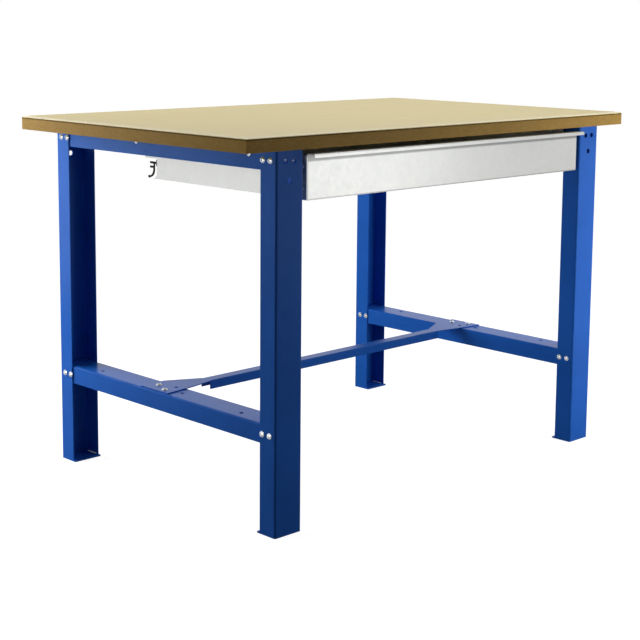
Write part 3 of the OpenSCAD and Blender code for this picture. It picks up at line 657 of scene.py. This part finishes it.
# %% Floor
bpy.ops.object.select_all(action="DESELECT")
bpy.ops.mesh.primitive_plane_add(size=60, location=(0, 0, 0))
floor = bpy.context.object
floor.name = "floor"
material = bpy.data.materials.new("white_floor")
material.use_nodes = True
tree = material.node_tree
tree.nodes.clear()
near_reach = 0.8
where = add(tree, "TexCoord").outputs["Object"]
distance = add(tree, "VectorMath", {"operation": "LENGTH"}, A0=where).outputs["Value"]
ray = add(tree, "LightPath")
far = add(tree, "MapRange", A0=distance, A1=near_reach, A2=3.5, A3=0.3, A4=0.85).outputs[0]
seen = add(tree, "Math", {"operation": "MULTIPLY_ADD"}, A0=ray.outputs["Is Glossy Ray"], A1=far,
           A2=ray.outputs["Is Camera Ray"])
matt = add(tree, "BsdfDiffuse", Color=linear("#8C8C8C"))
brightness = add(tree, "MapRange", A0=distance, A1=near_reach, A2=2.4, A3=0.93, A4=1.0).outputs[0]
glow = add(tree, "Emission", Color=(1, 1, 1, 1), Strength=brightness)
none = add(tree, "Emission", Color=(0, 0, 0, 1), Strength=0.0)
lift = add(tree, "MixShader", A0=seen.outputs[0], A1=none.outputs[0], A2=glow.outputs[0])
both = add(tree, "AddShader", A0=matt.outputs[0], A1=lift.outputs[0])
add(tree, "OutputMaterial", A0=both.outputs[0])
floor.data.materials.append(material)
print("floor laid")

# %% World
world = bpy.data.worlds.new("studio")
world.use_nodes = True
bpy.context.scene.world = world
tree = world.node_tree
tree.nodes.clear()
ray = add(tree, "LightPath")
way = add(tree, "TexCoord").outputs["Generated"]
backward = add(
    tree, "VectorMath", {"operation": "DOT_PRODUCT"}, A0=way, A1=(0.7, 0.7, 0.0)).outputs["Value"]
wall = add(tree, "MapRange", A0=backward, A1=-0.5, A2=0.9, A3=0.3, A4=1.3).outputs[0]
seen = add(tree, "Math", {"operation": "MULTIPLY_ADD"}, A0=ray.outputs["Is Glossy Ray"], A1=wall,
           A2=ray.outputs["Is Camera Ray"])
strength = add(tree, "MapRange", {"clamp": False}, A0=seen.outputs[0], A3=0.04, A4=1.0)
background = add(tree, "Background", Color=(1, 1, 1, 1), Strength=strength.outputs[0])
add(tree, "OutputWorld", A0=background.outputs[0])
print("world lit")


# %% Lamps
def add_lamp(name, place, target, size, watts, mirrored=True, matt=True):
    """Square soft lamp that faces a target. It can be left out of mirrored or of matt light."""
    bpy.ops.object.select_all(action="DESELECT")
    bpy.ops.object.light_add(type="AREA", location=place)
    lamp = bpy.context.object
    lamp.name = name
    lamp.rotation_euler = (Vector(target) - Vector(place)).to_track_quat("-Z", "Y").to_euler()
    lamp.data.size = size
    lamp.data.energy = watts
    lamp.visible_camera = False
    lamp.visible_glossy = mirrored
    lamp.visible_diffuse = matt
    print("lamp", name, watts, "W")


add_lamp("lamp_far_left", (-1.0, 1.15, 0.74), (-0.55, 0.35, 0.58), 1.0, 22, mirrored=False)
add_lamp("lamp_right_front", (0.95, -0.95, 0.52), (0.55, -0.39, 0.42), 1.0, 8.4, mirrored=False)
add_lamp("lamp_overhead", (0.6, 0.1, 3.0), (0.1, 0, 0.85), 2.6, 41.5, mirrored=False)
add_lamp("card_overhead", (0.6, 0.1, 3.1), (0.1, 0, 0.85), 2.6, 20, matt=False)
add_lamp("card_front", (0.37, -1.26, 0.7), (-0.4, -0.41, 0.75), 0.7, 1.5, matt=False)
add_lamp("card_left", (-1.25, 0.77, 0.7), (-0.48, -0.1, 0.75), 0.9, 0.9, matt=False)
add_lamp("card_side", (-3.0, -0.9, 1.5), (-0.5, -0.4, 0.6), 2.4, 52, matt=False)
